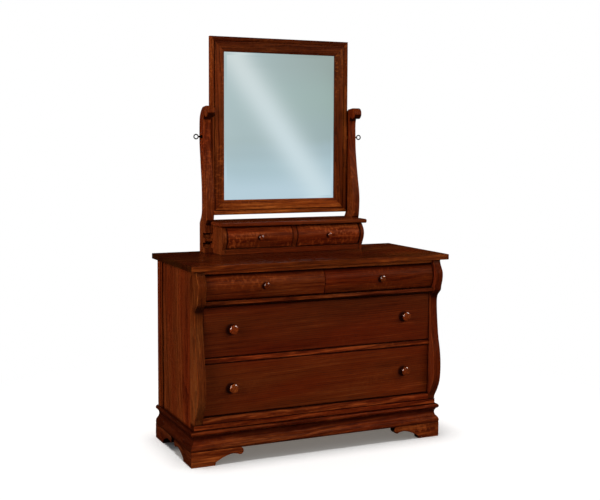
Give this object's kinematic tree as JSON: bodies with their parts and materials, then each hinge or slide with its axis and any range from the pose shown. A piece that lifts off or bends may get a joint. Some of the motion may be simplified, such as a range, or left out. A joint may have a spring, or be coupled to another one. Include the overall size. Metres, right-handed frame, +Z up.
{
  "type": "dresser",
  "caption": "Stained oak dresser with S-curved front posts, turned knobs, bracket feet and a tilting bevelled mirror between harp posts above a small drawer box.",
  "frame": {"origin": "on the floor, at the centre of the bounding box seen from above", "axes": "+X to the dresser's right as seen by someone who faces it, +Y to the back, +Z up"},
  "size_m": [1.245, 0.56, 1.857],
  "materials": {
    "stained_oak": "satin varnish over a dark reddish-brown stain",
    "drawer_wood": "clear satin",
    "plywood": "clear satin",
    "silvered_glass": "polished, with a bevelled edge",
    "socket_brass": "aged",
    "dark_metal": "dark bronze, satin"
  },
  "bodies": {
    "chest": {"back_panel": "plywood", "back_stiles": "stained_oak", "base_back_rail": "drawer_wood", "base_moulding_front": "stained_oak", "base_moulding_left": "stained_oak", "base_moulding_right": "stained_oak", "base_sill": "stained_oak", "box_back": "plywood", "box_divider": "stained_oak", "box_ends": "stained_oak", "box_floor": "stained_oak", "box_shelf": "stained_oak", "drawer_guides": "drawer_wood", "dust_boards": "drawer_wood", "foot_blocks": "drawer_wood", "foot_front_boards": "stained_oak", "foot_side_boards": "stained_oak", "front_post_left": "stained_oak", "front_post_right": "stained_oak", "harp_post_left": "stained_oak", "harp_post_right": "stained_oak", "lower_rail": "stained_oak", "middle_rail": "stained_oak", "partition": "drawer_wood", "side_panel_left": "stained_oak", "side_panel_right": "stained_oak", "top_board": "stained_oak", "top_rail": "stained_oak", "upper_rail": "stained_oak"},
    "upper_drawer": {"upper_drawer_face": "stained_oak", "upper_drawer_walls": "drawer_wood", "upper_drawer_bottom": "plywood", "upper_drawer_knobs": "stained_oak"},
    "lower_drawer": {"lower_drawer_face": "stained_oak", "lower_drawer_walls": "drawer_wood", "lower_drawer_bottom": "plywood", "lower_drawer_knobs": "stained_oak"},
    "small_drawer_left": {"small_drawer_face_left": "stained_oak", "small_drawer_walls_left": "drawer_wood", "small_drawer_bottom_left": "plywood", "small_drawer_knob_left": "stained_oak"},
    "box_drawer_left": {"box_drawer_face_left": "stained_oak", "box_drawer_tray_left": "drawer_wood", "box_drawer_knob_left": "stained_oak"},
    "thumb_screw_left": {"thumb_screw_left": "dark_metal"},
    "small_drawer_right": {"small_drawer_face_right": "stained_oak", "small_drawer_walls_right": "drawer_wood", "small_drawer_bottom_right": "plywood", "small_drawer_knob_right": "stained_oak"},
    "box_drawer_right": {"box_drawer_face_right": "stained_oak", "box_drawer_tray_right": "drawer_wood", "box_drawer_knob_right": "stained_oak"},
    "thumb_screw_right": {"thumb_screw_right": "dark_metal"},
    "mirror": {"mirror_stile_left": "stained_oak", "mirror_stile_right": "stained_oak", "mirror_rails": "stained_oak", "mirror_glass": "silvered_glass", "mirror_backing": "plywood", "mirror_sockets": "socket_brass"}
  },
  "joints": [
    {"name": "upper_drawer_slide", "type": "slide", "parent": "chest", "child": "upper_drawer", "axis": [0, -1, 0], "range_m": [0, 0.3]},
    {"name": "lower_drawer_slide", "type": "slide", "parent": "chest", "child": "lower_drawer", "axis": [0, -1, 0], "range_m": [0, 0.3]},
    {"name": "small_drawer_left_slide", "type": "slide", "parent": "chest", "child": "small_drawer_left", "axis": [0, -1, 0], "range_m": [0, 0.3]},
    {"name": "small_drawer_right_slide", "type": "slide", "parent": "chest", "child": "small_drawer_right", "axis": [0, -1, 0], "range_m": [0, 0.3]},
    {"name": "box_drawer_left_slide", "type": "slide", "parent": "chest", "child": "box_drawer_left", "axis": [0, -1, 0], "range_m": [0, 0.1]},
    {"name": "box_drawer_right_slide", "type": "slide", "parent": "chest", "child": "box_drawer_right", "axis": [0, -1, 0], "range_m": [0, 0.1]},
    {"name": "mirror_tilt", "type": "hinge", "parent": "chest", "child": "mirror", "pos_m": [0, 0.241, 1.395], "axis": [1, 0, 0], "range_deg": [-20, 20]},
    {"name": "thumb_screw_left_turn", "type": "hinge", "parent": "chest", "child": "thumb_screw_left", "pos_m": [-0.394, 0.241, 1.395], "axis": [-1, 0, 0], "continuous": true},
    {"name": "thumb_screw_right_turn", "type": "hinge", "parent": "chest", "child": "thumb_screw_right", "pos_m": [0.394, 0.241, 1.395], "axis": [1, 0, 0], "continuous": true}
  ]
}
